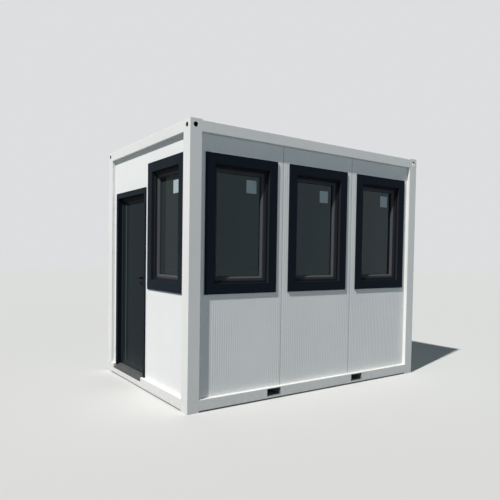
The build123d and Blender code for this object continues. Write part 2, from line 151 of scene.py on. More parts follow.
# Glazing: two sheets of glass in each pane, a spacer bar between them, and seals round them
SHEET_THICKNESS = 4.0 * MM
SHEET_CORNER = 1.0 * MM
SHEET_BEVEL = 0.5 * MM
GLASS_BITE = 8.0 * MM
GLASS_SEAL_WIDTH = 4.0 * MM
GLASS_SEAL_THICKNESS = 3.5 * MM
SPACER_GAP = 0.2 * MM
SPACER_FRONT = GLASS_DEPTH + SHEET_THICKNESS + SPACER_GAP
SPACER_BACK = GLASS_BACK - SHEET_THICKNESS - SPACER_GAP
LINING_SKIN = 0.4 * MM
LINING_FRONT = TRIM_DEPTH + 1.6 * MM
LINING_BACK = LIP_FRONT - 0.2 * MM
BEAD_SKIN = 0.5 * MM
BEVEL_FOOT = LIP_BACK + BEVEL_DEPTH
INNER_SASH_WIDTH = SASH_FACE + SASH_OVERLAP
INNER_SASH_BACK = SASH_BACK + 0.6 * MM

# Sections swept round a window, as (outward, depth) pairs: the spacer bar, the black seal over
# the lip's inner side, the coated skin on the trim's lining, the glazing bead on the sash's
# bevel, whose light grey is partly its own colour and partly a painted highlight for the light
# the bevel catches, and the white skin on the room side of the sash
SPACER_SECTION = [
    (4.0 * MM, SPACER_FRONT),
    (-3.0 * MM, SPACER_FRONT),
    (-3.0 * MM, SPACER_BACK),
    (4.0 * MM, SPACER_BACK),
]
LIP_SEAL_SECTION = [
    (0.3 * MM, LIP_BACK),
    (-3.0 * MM, LIP_BACK),
    (-3.0 * MM, LIP_BACK - 2.0 * MM),
    (-0.8 * MM, LIP_BACK - 4.0 * MM),
    (-0.8 * MM, LIP_FRONT + 6.0 * MM),
    (0.3 * MM, LIP_FRONT + 5.0 * MM),
]
LINING_SECTION = [
    (LINING_SKIN, LINING_FRONT),
    (-LINING_SKIN, LINING_FRONT),
    (-LINING_SKIN, LINING_BACK),
    (LINING_SKIN, LINING_BACK),
]
BEAD_SECTION = [
    (BEVEL_WIDTH, LIP_BACK + BEAD_SKIN),
    (BEVEL_WIDTH, LIP_BACK - BEAD_SKIN),
    (-BEAD_SKIN, BEVEL_FOOT - BEAD_SKIN),
    (-BEAD_SKIN, GLASS_DEPTH - BEAD_SKIN),
    (BEAD_SKIN, GLASS_DEPTH - BEAD_SKIN),
    (BEAD_SKIN, BEVEL_FOOT + BEAD_SKIN),
]
INNER_SASH_SECTION = [
    (INNER_SASH_WIDTH, SASH_BACK),
    (INNER_SASH_WIDTH, INNER_SASH_BACK),
    (0.0, INNER_SASH_BACK),
    (0.0, SASH_BACK),
]

# Window trims: hairline mitre joints, and drain slots placed by shares of the trim's size; each
# slot is a dark plate, painted shade of the opening
MITRE_END_GAP = 2.0 * MM
MITRE_SINK = 0.1 * MM
MITRE_WIDTH = 0.8 * MM
MITRE_PROUD = 0.25 * MM
SLOT_ACROSS = 0.27
SLOT_UP = 0.30
SLOT_SINK = 0.2 * MM

# Levers, as in the model
WINDOW_ROSE_THICKNESS = 10.0 * MM
WINDOW_NECK_RADIUS = 8.0 * MM
WINDOW_NECK_LENGTH = 34.0 * MM
WINDOW_LEVER_LENGTH = 120.0 * MM
DOOR_ROSE_RADIUS = 25.0 * MM
DOOR_ROSE_THICKNESS = 8.0 * MM
KEY_ROSE_THICKNESS = 14.0 * MM
KEY_ROSE_DROP = 58.0 * MM
DOOR_NECK_RADIUS = 9.0 * MM
DOOR_LEVER_STANDOFF = 36.0 * MM
DOOR_LEVER_LENGTH = 102.0 * MM
LEVER_WIDTH = 20.0 * MM
DOOR_LEVER_THICKNESS = 10.0 * MM
WINDOW_LEVER_THICKNESS = 12.0 * MM
REACH_TO_BEND = 2.4
LEVER_SEGMENTS = 24

# Rim of a round door rose, as (distance from its edge, distance below its face) pairs
ROSE_RIM = [
    (0.0, 3.0 * MM),
    (0.6 * MM, 1.4 * MM),
    (1.8 * MM, 0.3 * MM),
    (3.4 * MM, 0.0),
]

# Lock barrel in a key rose, as (radius, height) pairs, and where its keyhole starts
BARREL_PROFILE = [(8.5 * MM, 0.0), (8.5 * MM, 3.2 * MM), (7.7 * MM, 4.0 * MM)]
BARREL_SINK = 1.0 * MM
KEYHOLE_START = 3.9 * MM

# Small plates, each as its (width, height), corner radius, thickness and bevel
BLANK_LABEL = (LABEL_SIZE, 5.0 * MM, 0.3 * MM)
# The drain slot and the keyhole are dark plates: painted shade of those openings
DRAIN_SLOT_SHADE = ((33.0 * MM, 5.0 * MM), 2.4 * MM, 0.4 * MM)
KEYHOLE_SHADE = ((1.8 * MM, 9.0 * MM), 0.8 * MM, 0.25 * MM)
WINDOW_ROSE = ((28.0 * MM, 70.0 * MM), 9.0 * MM, WINDOW_ROSE_THICKNESS, 2.5 * MM)
LATCH_PLATE = ((22.0 * MM, 235.0 * MM), 4.0 * MM, 0.8 * MM, 0.3 * MM)
LATCH_BOLT = ((12.0 * MM, 26.0 * MM), 2.0 * MM, 4.5 * MM, 1.5 * MM)
STRIKE_PLATE = ((22.0 * MM, 180.0 * MM), 4.0 * MM, 0.8 * MM, 0.3 * MM)

# Where the bolt and the strike plate start, counted from the edge of the leaf
BOLT_START = 0.6 * MM
REBATE_GAP = 8.0 * MM

# Door leaf: raised stiles and head rail on its outer face, with a light bead beside the stiles;
# the bead's pale colour is a painted reflection of a bright edge in the glossy leaf
BORDER_PROUD = 6.0 * MM
BORDER_GAP = 5.0 * MM
BORDER_BEVEL = 1.2 * MM
BORDER_SINK = 0.5 * MM
BORDER_FOOT_GAP = 33.0 * MM
HINGE_STILE_WIDTH = 58.0 * MM
LATCH_STILE_WIDTH = 36.0 * MM
HEAD_RAIL_HEIGHT = 22.0 * MM
LIP_COVER = 10.0 * MM
BEAD_WIDTH = 9.0 * MM
BEAD_BEVEL = 2.5 * MM
BEAD_SINK = 1.5 * MM
BEAD_LAP = 0.5 * MM

# Seal on the back of the door frame's lip, and the flap under the leaf
DOOR_SEAL_TUCK = 2.0 * MM
DOOR_SEAL_WIDTH = 4.0 * MM
DOOR_SEAL_REACH = 5.0 * MM
DOOR_SEAL_GAP = 0.5 * MM
DOOR_SEAL_SHOULDER = 1.5 * MM
FLAP_FRONT = 4.0 * MM
FLAP_BACK = 8.0 * MM
FLAP_END_GAP = 2.0 * MM
FLAP_LAP = 0.5 * MM
FLAP_DROP = 5.0 * MM
FLAP_TAPER = 1.0 * MM

# Finishes: the door-end pane lies beyond the first X limit and takes its own colour and gloss,
# a painted reflection of the darker surroundings that this pane faces
GLASS_TINT = (0.68, 0.92, 1.0)
DOOR_END_LIMITS = (-1.36, -1.34)
DOOR_END_REFLECTION_COLOUR = (0.034, 0.043, 0.044)
DOOR_END_REFLECTION_GLOSS = 0.035
DUST_HEIGHT = 0.35
DUST_COLOUR = (0.42, 0.38, 0.32)

# Steel frame: posts and beams, the skin of the corner fittings (deeper in, their cavity is
# painted dark as shade), and ground-down welds
POST_SIZE = 120.0 * MM
BEAM_HEIGHT = 100.0 * MM
CORNER_RADIUS = 5.0 * MM
FOOT_HEIGHT = 12.0 * MM
BEAM_DROP = 6.0 * MM
CORNER_SKIN = 5.5 * MM
CORNER_FADE = 0.5 * MM
FRAME_WHITE = (0.80, 0.80, 0.785)
# Dark grey inside the corner fittings' cavities: painted shade
CAVITY_PAINTED_SHADE = (0.02, 0.022, 0.025)
WELD_SINK = 0.1 * MM
WELD_LAP = 0.5 * MM
WELD_END = 1.5 * MM
WELD_STEPS = 5
WELD_START = math.acos(1 - WELD_SINK / CORNER_RADIUS)

# Roof: sealing strips along the beams as (inward, upward) pairs, and screws on the sheet's
# flats as (radius, height) pairs
STRIP_SECTION = [
    (0.0, 2.2 * MM),
    (26.0 * MM, 2.2 * MM),
    (26.0 * MM, 3.6 * MM),
    (1.5 * MM, 5.0 * MM),
    (1.5 * MM, 30.0 * MM),
    (0.0, 30.0 * MM),
]
ROOF_SKIN = 2.0 * MM
ROOF_RIB_PITCH = 230.0 * MM
ROOF_FLATS = 12
SCREW_ROWS = (-0.78, -0.26, 0.26, 0.78)
SCREW_SEGMENTS = 16
SCREW_PROFILE = [
    (9.0 * MM, 0.0),
    (9.0 * MM, 1.2 * MM),
    (5.5 * MM, 1.4 * MM),
    (5.5 * MM, 4.5 * MM),
    (3.5 * MM, 5.8 * MM),
]


def new_material(name, colour, roughness, gloss=0.5):
    """Return a material, its node tree and its shader, with the plain values set."""
    material = bpy.data.materials.new(name)
    material.use_nodes = True
    tree = material.node_tree
    shader = tree.nodes["Principled BSDF"]
    shader.inputs["Base Color"].default_value = (*colour, 1.0)
    shader.inputs["Roughness"].default_value = roughness
    shader.inputs["Specular IOR Level"].default_value = gloss
    return material, tree, shader


def object_point(tree):
    """Return the socket that gives the point in the object's own space, in metres."""
    return tree.nodes.new("ShaderNodeTexCoord").outputs["Object"]


def split_axes(tree, point):
    """Return the sockets X, Y and Z of a point or a direction."""
    node = tree.nodes.new("ShaderNodeSeparateXYZ")
    tree.links.new(point, node.inputs["Vector"])
    return node.outputs


def noise(tree, scale, detail=3.0, roughness=0.5, stretch=None):
    """Add a noise texture in object space and return its factor socket."""
    texture = tree.nodes.new("ShaderNodeTexNoise")
    texture.inputs["Scale"].default_value = scale
    texture.inputs["Detail"].default_value = detail
    texture.inputs["Roughness"].default_value = roughness
    point = object_point(tree)
    if stretch is not None:
        mapping = tree.nodes.new("ShaderNodeMapping")
        mapping.inputs["Scale"].default_value = stretch
        tree.links.new(point, mapping.inputs["Vector"])
        point = mapping.outputs["Vector"]
    tree.links.new(point, texture.inputs["Vector"])
    return texture.outputs["Fac"]


def ramp(tree, source, limits, values):
    """Map a factor between two limits onto two grey values or two colours."""
    node = tree.nodes.new("ShaderNodeValToRGB")
    for element, limit, value in zip(node.color_ramp.elements, limits, values):
        element.position = limit
        element.color = (*value, 1.0) if isinstance(value, tuple) else (value, value, value, 1.0)
    tree.links.new(source, node.inputs["Fac"])
    return node.outputs["Color"]


def map_range(tree, source, limits, values):
    """Map a value between two limits onto another pair of values, and return the result socket."""
    node = tree.nodes.new("ShaderNodeMapRange")
    for name, value in zip(("From Min", "From Max", "To Min", "To Max"), (*limits, *values)):
        node.inputs[name].default_value = value
    tree.links.new(source, node.inputs["Value"])
    return node.outputs["Result"]


def calculate(tree, operation, *sources):
    """Do one step of arithmetic on value sockets, and return the result socket."""
    node = tree.nodes.new("ShaderNodeMath")
    node.operation = operation
    for source, socket in zip(sources, node.inputs):
        tree.links.new(source, socket)
    return node.outputs["Value"]


def mix_colour(tree, factor, first, second):
    """Mix two colours, each a socket or a plain colour, and return the result socket."""
    node = tree.nodes.new("ShaderNodeMix")
    node.data_type = "RGBA"
    if isinstance(factor, float):
        node.inputs["Factor"].default_value = factor
    else:
        tree.links.new(factor, node.inputs["Factor"])
    for value, socket in ((first, node.inputs["A"]), (second, node.inputs["B"])):
        if isinstance(value, tuple):
            socket.default_value = (*value, 1.0)
        else:
            tree.links.new(value, socket)
    return node.outputs["Result"]


def add_bump(tree, shader, height, strength, distance):
    """Bump the shader's normal from a height socket."""
    bump = tree.nodes.new("ShaderNodeBump")
    bump.inputs["Strength"].default_value = strength
    bump.inputs["Distance"].default_value = distance
    tree.links.new(height, bump.inputs["Height"])
    tree.links.new(bump.outputs["Normal"], shader.inputs["Normal"])


def shade(colour, factor):
    """Scale a colour."""
    return tuple(channel * factor for channel in colour)


def paint(name, colour, roughness, dust=0.0, peel=0.12, gloss=0.5):
    """Sprayed or coil-coated paint: faint tone changes, fine orange peel, dust near the ground."""
    material, tree, shader = new_material(name, colour, roughness, gloss)
    cloud = noise(tree, scale=1.7, detail=4.0)
    tone = ramp(tree, cloud, (0.3, 0.7), (shade(colour, 0.97), shade(colour, 1.02)))
    if dust > 0.0:
        height = split_axes(tree, object_point(tree))["Z"]
        low = map_range(tree, height, (0.0, DUST_HEIGHT), (dust, 0.0))
        grain = noise(tree, scale=23.0, detail=6.0, roughness=0.65)
        speck = ramp(tree, grain, (0.35, 0.75), (0.15, 1.0))
        tone = mix_colour(tree, calculate(tree, "MULTIPLY", low, speck), tone, DUST_COLOUR)
    tree.links.new(tone, shader.inputs["Base Color"])
    sheen = noise(tree, scale=6.0, detail=3.0)
    rough = ramp(tree, sheen, (0.3, 0.7), (roughness * 0.88, min(1.0, roughness * 1.12)))
    tree.links.new(rough, shader.inputs["Roughness"])
    add_bump(tree, shader, noise(tree, scale=900.0, detail=2.0), peel, 0.2 * MM)
    return material


def glass_material(name, colour, alpha, gloss, paint_door_end_reflection=False):
    """Double glazing: mostly reflection, with some of the room showing through; its near-black,
    mostly opaque sheet is painted shade that stands in for the dim room behind.

    With paint_door_end_reflection, the pane in the door end has its own colour and gloss, a
    painted reflection of the darker surroundings that this pane faces.
    """
    material, tree, shader = new_material(name, colour, 0.02, gloss)
    shader.inputs["Alpha"].default_value = alpha
    shader.inputs["Specular Tint"].default_value = (*GLASS_TINT, 1.0)
    cloud = noise(tree, scale=1.3, detail=2.0)
    tone = ramp(tree, cloud, (0.35, 0.65), (shade(colour, 0.85), shade(colour, 1.15)))
    # The door-end pane: its own colour and gloss are a painted reflection
    if paint_door_end_reflection:
        place = split_axes(tree, object_point(tree))["X"]
        share = map_range(tree, place, DOOR_END_LIMITS, (1.0, 0.0))
        level = map_range(tree, place, DOOR_END_LIMITS, (DOOR_END_REFLECTION_GLOSS, gloss))
        tone = mix_colour(tree, share, tone, DOOR_END_REFLECTION_COLOUR)
        tree.links.new(level, shader.inputs["Specular IOR Level"])
    tree.links.new(tone, shader.inputs["Base Color"])
    add_bump(tree, shader, noise(tree, scale=2.2, detail=1.0), 0.02, 2.0 * MM)
    return material


def grained_material(name, colour, tones, roughness, gloss, grain, limits, relief):
    """A surface whose grain sets its tone and its relief.

    tones are for the low and the high grain, limits say where on the grain they are reached,
    grain holds the noise's settings, and relief is the bump's strength and depth.
    """
    material, tree, shader = new_material(name, colour, roughness, gloss)
    factor = noise(tree, **grain)
    tree.links.new(ramp(tree, factor, limits, tones), shader.inputs["Base Color"])
    add_bump(tree, shader, factor, *relief)
    return material


def floor_board_material(name):
    """Sealed grey-brown floor covering with a fine fleck."""
    tones = ((0.20, 0.19, 0.18), (0.34, 0.32, 0.30))
    grain = {"scale": 320.0, "detail": 4.0, "roughness": 0.7}
    relief = (0.15, 0.3 * MM)
    return grained_material(
        name, (0.28, 0.26, 0.24), tones, 0.5, 0.5, grain, (0.4, 0.62), relief
    )


def grip_material(name):
    """Dark grey sheet with a sanded, speckled grip coating."""
    material, tree, shader = new_material(name, (0.075, 0.080, 0.078), 0.85, 0.2)
    fleck = noise(tree, scale=260.0, detail=5.0, roughness=0.75)
    cloud = noise(tree, scale=14.0, detail=4.0)
    tone = ramp(tree, fleck, (0.38, 0.66), ((0.040, 0.044, 0.044), (0.125, 0.13, 0.127)))
    patch = ramp(tree, cloud, (0.3, 0.7), ((0.05, 0.055, 0.055), (0.10, 0.10, 0.095)))
    tone = mix_colour(tree, 0.35, tone, patch)
    tree.links.new(tone, shader.inputs["Base Color"])
    add_bump(tree, shader, fleck, 0.5, 0.6 * MM)
    return material


def profile_material(name, colour, roughness, gloss=0.5):
    """Foil-laminated window profile: a fine upright grain on dark grey."""
    tones = (shade(colour, 0.86), shade(colour, 1.16))
    grain = {"scale": 90.0, "detail": 4.0, "roughness": 0.6, "stretch": (6.0, 6.0, 0.6)}
    relief = (0.10, 0.2 * MM)
    return grained_material(name, colour, tones, roughness, gloss, grain, (0.35, 0.68), relief)


def rubber_material(name):
    """Black rubber seal."""
    tones = ((0.009, 0.009, 0.010), (0.016, 0.016, 0.017))
    grain = {"scale": 400.0, "detail": 3.0}
    relief = (0.2, 0.2 * MM)
    return grained_material(
        name, (0.012, 0.012, 0.013), tones, 0.7, 0.1, grain, (0.3, 0.7), relief
    )


def corner_material(name):
    """White paint on the outer faces of a corner fitting, and dark grey in its cavity: painted
    shade.
    """
    material = paint(name, FRAME_WHITE, 0.45)
    tree = material.node_tree
    base_colour = tree.nodes["Principled BSDF"].inputs["Base Color"]
    place = split_axes(tree, object_point(tree))
    near_faces = []
    for axis, face in (("X", HALF_LENGTH), ("Y", HALF_WIDTH), ("Z", FULL_HEIGHT)):
        distance = calculate(tree, "ABSOLUTE", place[axis])
        limits = (face - CORNER_SKIN - CORNER_FADE, face - CORNER_SKIN)
        near_faces.append(map_range(tree, distance, limits, (0.0, 1.0)))
    near_side = calculate(tree, "MAXIMUM", near_faces[0], near_faces[1])
    outside = calculate(tree, "MAXIMUM", near_side, near_faces[2])
    coat = base_colour.links[0].from_socket
    # Inside the cavity the white coat gives way to dark grey: painted shade
    tree.links.new(mix_colour(tree, outside, CAVITY_PAINTED_SHADE, coat), base_colour)
    return material


FINISHES = {
    "frame_white": paint("frame_white", FRAME_WHITE, 0.45, dust=0.3),
    "wall_white": paint("wall_white", (0.82, 0.83, 0.82), 0.5, dust=0.2),
    "inside_white": paint("inside_white", (0.80, 0.80, 0.78), 0.5),
    "roof_steel": paint("roof_steel", (0.58, 0.60, 0.61), 0.45),
    "floor_board": floor_board_material("floor_board"),
    # Mid grey in place of the pockets' white paint: painted shade inside the fork pockets, with
    # dust near the ground
    "pocket_steel": paint("pocket_steel", (0.20, 0.205, 0.21), 0.6, dust=0.2),
    "sill_grip": grip_material("sill_grip"),
    "trim_grey": paint("trim_grey", (0.0075, 0.0125, 0.019), 0.5, peel=0.08, gloss=0.03),
    "window_grey": profile_material("window_grey", (0.015, 0.018, 0.024), 0.42, gloss=0.015),
    # Near-black, mostly opaque panes under real reflection: painted shade for the dim room behind
    "glass": glass_material("glass", (0.003, 0.005, 0.006), 0.8, 0.60, paint_door_end_reflection=True),
    "door_grey": paint(
        "door_grey", (0.015, 0.0225, 0.026), 0.14, dust=0.1, peel=0.03, gloss=0.009
    ),
    "handle_black": paint("handle_black", (0.004, 0.0045, 0.0055), 0.5, gloss=0.05),
    "hinge_steel": paint("hinge_steel", (0.03, 0.034, 0.038), 0.4, gloss=0.3),
}

# Finishes of single nodes and pieces that differ from their slot's
RUBBER = rubber_material("seal_rubber")
SPACER = paint("spacer_metal", (0.62, 0.63, 0.64), 0.4)
LABEL = paint("blank_label", (0.38, 0.47, 0.50), 0.45)
# Dark, nearly opaque inner sheet: painted shade for the dim room behind
INNER_GLASS = glass_material("inner_glass", (0.004, 0.010, 0.013), 0.92, 0.4)
# Light grey on the glazing bead: partly its own colour, partly a painted highlight for the light
# the bevel catches
BEAD = profile_material("glazing_bead", (0.072, 0.078, 0.086), 0.4, gloss=0.05)
SASH = profile_material("window_sash", (0.058, 0.060, 0.068), 0.42, gloss=0.02)
LINING = paint("trim_lining", (0.022, 0.024, 0.029), 0.5, peel=0.08, gloss=0.04)
DOOR_FRAME = paint("door_frame", (0.022, 0.027, 0.031), 0.5, gloss=0.01)
# Pale grey on the leaf's bead: painted reflection of a bright edge in the glossy leaf
DOOR_BEAD_REFLECTION = paint("door_bead_reflection", (0.075, 0.085, 0.095), 0.35, gloss=0.2)
CORNER = corner_material("corner_fitting")
JOINT = rubber_material("panel_joint")
SCREW = paint("screw_zinc", (0.45, 0.46, 0.47), 0.35, gloss=0.6)
OWN_FINISHES = {"window_sashes": SASH, "door_frame": DOOR_FRAME}
OWN_FINISHES.update({name: CORNER for name in nodes if name.startswith("corner_fitting")})


def dress_nodes():
    """Give every node of the model its own finish, or that of its slot."""
    for part in frame["record"]["subparts"]:
        material = OWN_FINISHES.get(part["node"], FINISHES[part["material_slot"]])
        for slot in nodes[part["node"]].material_slots:
            slot.material = material


def add_piece(name, mesh, material, body):
    """Turn a bmesh into a piece that rides on a body and takes the finish given to it."""
    bmesh.ops.recalc_face_normals(mesh, faces=mesh.faces)
    data = bpy.data.meshes.new(name)
    mesh.to_mesh(data)
    mesh.free()
    data.materials.append(material)
    piece = bpy.data.objects.new(name, data)
    bpy.context.scene.collection.objects.link(piece)
    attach(piece, body)
    return piece


def prism(mesh, loop, offset):
    """Add a closed prism to a bmesh: a loop of points and the same loop moved by offset."""
    near = [mesh.verts.new(point) for point in loop]
    far = [mesh.verts.new(Vector(point) + Vector(offset)) for point in loop]
    mesh.faces.new(near)
    mesh.faces.new(reversed(far))
    for index in range(len(near)):
        following = (index + 1) % len(near)
        mesh.faces.new((near[following], near[index], far[index], far[following]))


class Wall:
    """One outer wall: along runs to the viewer's right, out points away from the room."""

    def __init__(self, along, out, face):
        self.along = Vector(along)
        self.out = Vector(out)
        self.face = face

    def point(self, across, up, depth):
        """Place a point by its distance along the wall, height and depth behind the frame."""
        place = self.along * across + self.out * (self.face - depth)
        return Vector((place.x, place.y, up))

    def span(self, node):
        """Low and high edge of a node along this wall."""
        low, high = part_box(node)
        ends = sorted((self.along.dot(low), self.along.dot(high)))
        return ends[0], ends[1]


WALLS = {
    "front": Wall((1, 0, 0), (0, -1, 0), HALF_WIDTH),
    "back": Wall((-1, 0, 0), (0, 1, 0), HALF_WIDTH),
    "left": Wall((0, -1, 0), (-1, 0, 0), HALF_LENGTH),
    "right": Wall((0, 1, 0), (1, 0, 0), HALF_LENGTH),
}
PANELS = {
    "front": ["front_panel_1", "front_panel_2", "front_panel_3"],
    "back": ["back_panel_1", "back_panel_2", "back_panel_3"],
    "left": ["left_window_panel", "over_door_panel", "door_side_panel"],
    "right": ["right_panel_1", "right_panel_2"],
}


def join_loops(mesh, loop, following):
    """Add the faces between two closed loops that have the same number of points."""
    for index in range(len(loop)):
        after = (index + 1) % len(loop)
        mesh.faces.new((loop[index], loop[after], following[after], following[index]))


def sweep_ring(mesh, wall, middle, size, section):
    """Sweep a section round a rectangle with mitred corners; section is (outward, depth) pairs."""
    loops = []
    for side, level in ((-1, -1), (1, -1), (1, 1), (-1, 1)):
        loop = []
        for outward, depth in section:
            across = middle[0] + side * (size[0] / 2 + outward)
            up = middle[1] + level * (size[1] / 2 + outward)
            loop.append(mesh.verts.new(wall.point(across, up, depth)))
        loops.append(loop)
    for loop, following in zip(loops, loops[1:] + loops[:1]):
        join_loops(mesh, loop, following)


def upright(mesh, wall, edge, side, section, foot, length):
    """Stand a section on end beside an edge; it is (across, depth) pairs, across towards side."""
    loop = [wall.point(edge + side * across, foot, depth) for across, depth in section]
    prism(mesh, loop, UP * length)


def bar(mesh, start, end, side, rise):
    """A bar from start to end whose section is spanned by the vectors side and rise."""
    start, side, rise = Vector(start), Vector(side), Vector(rise)
    loop = [start - side / 2, start + side / 2, start + side / 2 + rise, start - side / 2 + rise]
    prism(mesh, loop, Vector(end) - start)


def seal_section(width, depth_out, depth_in):
    """A soft seal's section: flat where it sits, rounded where it shows."""
    bulge = (depth_in - depth_out) / 3
    return [
        (0.0, depth_in),
        (-width, depth_in),
        (-width, depth_out + bulge),
        (-width * 0.7, depth_out),
        (-width * 0.2, depth_out),
        (0.0, depth_out + bulge),
    ]


def loft(mesh, loops):
    """Join loops of points in their order, and close the first and the last."""
    rings = [[mesh.verts.new(point) for point in loop] for loop in loops]
    for ring, following in zip(rings, rings[1:]):
        join_loops(mesh, ring, following)
    mesh.faces.new(rings[0])
    mesh.faces.new(rings[-1])


def full_turn(segments):
    """Angles of equal steps round a circle."""
    return [2 * math.pi * step / segments for step in range(segments)]


def lathe(mesh, foot, axis, profile, segments=40):
    """Turn a profile of (radius, height) pairs about an axis, and close both ends."""
    side = axis.orthogonal().normalized()
    rise = axis.cross(side)
    spokes = [side * math.cos(angle) + rise * math.sin(angle) for angle in full_turn(segments)]
    loops = []
    for radius, height in profile:
        loops.append([foot + axis * height + spoke * radius for spoke in spokes])
    loft(mesh, loops)


def shrink(size, amount):
    """Take amount off each of the four sides of a (width, height) pair."""
    return (size[0] - 2 * amount, size[1] - 2 * amount)


def rounded_loop(centre, across, up, size, radius, steps=5):
    """Points of a rectangle with rounded corners, spanned by the unit vectors across and up."""
    loop = []
    half_width, half_height = size[0] / 2 - radius, size[1] / 2 - radius
    for side, level, turn in ((1, 1, 0), (-1, 1, 90), (-1, -1, 180), (1, -1, 270)):
        corner = centre + across * side * half_width + up * level * half_height
        for step in range(steps):
            angle = math.radians(turn + 90 * step / (steps - 1))
            loop.append(corner + (across * math.cos(angle) + up * math.sin(angle)) * radius)
    return loop


def plate(mesh, centre, across, up, size, radius, thickness, bevel=0.0):
    """A plate with rounded corners and a bevelled rim, standing on the plane of across and up."""
    out = across.cross(up)
    loops = [
        rounded_loop(centre, across, up, size, radius),
        rounded_loop(centre + out * (thickness - bevel), across, up, size, radius),
    ]
    if bevel > 0.0:
        top = centre + out * thickness
        loops.append(rounded_loop(top, across, up, shrink(size, bevel), radius - bevel))
    loft(mesh, loops)


def lever(mesh, foot, out, run, reach, length, neck_radius, thickness):
    """A lever: a round neck, a bend, and a flattened grip with a rounded end."""
    across = out.cross(run)
    bend = reach / REACH_TO_BEND
    half_width, half_thickness = LEVER_WIDTH / 2, thickness / 2
    stations = [(foot, out, neck_radius, neck_radius)]
    bend_steps = 8
    for step in range(bend_steps + 1):
        share = step / bend_steps
        angle = math.pi / 2 * share
        place = foot + out * (reach - bend + bend * math.sin(angle))
        place = place + run * (bend * (1 - math.cos(angle)))
        tangent = out * math.cos(angle) + run * math.sin(angle)
        wide = neck_radius + (half_width - neck_radius) * share
        thick = neck_radius + (half_thickness - neck_radius) * share
        stations.append((place, tangent, wide, thick))
    grip_end = foot + out * reach + run * length
    end_steps = 6
    for step in range(end_steps):
        angle = math.pi / 2 * step / end_steps
        place = grip_end - run * (half_width * (1 - math.sin(angle)))
        shrinkage = math.cos(angle)
        stations.append((place, run, half_width * shrinkage, half_thickness * shrinkage ** 0.5))
    loops = []
    for place, tangent, wide, thick in stations:
        normal = tangent.cross(across)
        loop = []
        for angle in full_turn(LEVER_SEGMENTS):
            spoke = across * (wide * math.cos(angle))
            loop.append(place + spoke + normal * (thick * math.sin(angle)))
        loops.append(loop)
    loft(mesh, loops)


def main():
    """Dress the model, add the pieces that it leaves to this script, and set up the picture."""
    dress_nodes()
    add_ribs()
    add_panel_joints()
    add_frame_welds()
    add_window_details()
    add_window_levers()
    add_door_details()
    add_door_levers()
    add_roof_screws()
    add_roof_strips()
    add_stage()
    add_key_lamp()
    add_fill()
    add_camera()


def add_ribs():
    """Fine upright ribs on the outer sheet of every wall panel, clear of the trims."""
    for wall_name, panels in PANELS.items():
        wall = WALLS[wall_name]
        mesh = bmesh.new()
        for panel in panels:
            low, high = wall.span(panel)
            bottom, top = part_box(panel)[0].z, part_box(panel)[1].z
            count = int((high - low - 2 * PANEL_EDGE) / RIB_PITCH)
            start = (low + high) / 2 - (count - 1) * RIB_PITCH / 2
            for index in range(count):
                middle = start + index * RIB_PITCH
                for foot, head in rib_stretches(wall_name, middle, bottom, top):
                    add_rib(mesh, wall, middle, foot, head)
        add_piece(f"{wall_name}_wall_ribs", mesh, FINISHES["wall_white"], "cabin")


def rib_stretches(wall_name, middle, bottom, top):
    """Split a rib where a window trim covers it, so that it ends just behind the trim."""
    for window_wall, window_middle, width, _ in WINDOWS:
        if window_wall == wall_name and abs(middle - window_middle) < width / 2 - RIB_TUCK / 2:
            return [
                (bottom, WINDOW_FOOT + RIB_TUCK),
                (WINDOW_FOOT + WINDOW_HEIGHT - RIB_TUCK, top),
            ]
    return [(bottom, top)]


def add_rib(mesh, wall, middle, foot, head):
    """One rib: a low ridge with sloping sides."""
    half = RIB_WIDTH / 2
    section = [
        (-half, PANEL_DEPTH + RIB_SINK),
        (-half, PANEL_DEPTH),
        (-half + RIB_SLOPE, PANEL_DEPTH - RIB_HEIGHT),
        (half - RIB_SLOPE, PANEL_DEPTH - RIB_HEIGHT),
        (half, PANEL_DEPTH),
        (half, PANEL_DEPTH + RIB_SINK),
    ]
    upright(mesh, wall, middle, 1, section, foot, head - foot)


def add_panel_joints():
    """Dark sealed joints in the grooves between neighbouring wall panels."""
    mesh = bmesh.new()
    section = [
        (-JOINT_HALF_WIDTH, JOINT_BACK),
        (-JOINT_HALF_WIDTH, JOINT_FRONT),
        (JOINT_HALF_WIDTH, JOINT_FRONT),
        (JOINT_HALF_WIDTH, JOINT_BACK),
    ]
    for wall_name in ("front", "back", "right"):
        wall = WALLS[wall_name]
        low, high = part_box(PANELS[wall_name][0])
        for edge in sorted(wall.span(panel)[1] for panel in PANELS[wall_name])[:-1]:
            upright(mesh, wall, edge, 1, section, low.z, high.z - low.z)
    add_piece("panel_joints", mesh, JOINT, "cabin")


def add_frame_welds():
    """Weld metal, ground flush, that fills the groove between each beam's end and the corner."""
    mesh = bmesh.new()
    levels = (
        (FOOT_HEIGHT, FOOT_HEIGHT + BEAM_HEIGHT),
        (FULL_HEIGHT - BEAM_DROP - BEAM_HEIGHT, FULL_HEIGHT - BEAM_DROP),
    )
    section = [(-WELD_LAP, CORNER_RADIUS), (-WELD_LAP, WELD_SINK)]
    for step in range(WELD_STEPS + 1):
        angle = WELD_START + (math.pi / 2 - WELD_START) * step / WELD_STEPS
        across = CORNER_RADIUS * (1 - math.sin(angle))
        section.append((across, CORNER_RADIUS * (1 - math.cos(angle))))
    for wall_name, wall in WALLS.items():
        half_run = HALF_LENGTH if wall_name in ("front", "back") else HALF_WIDTH
        for side in (-1, 1):
            beam_end = side * (half_run - POST_SIZE)
            for foot, head in levels:
                length = head - foot - 2 * WELD_END
                upright(mesh, wall, beam_end, side, section, foot + WELD_END, length)
    add_piece("frame_welds", mesh, FINISHES["frame_white"], "cabin")


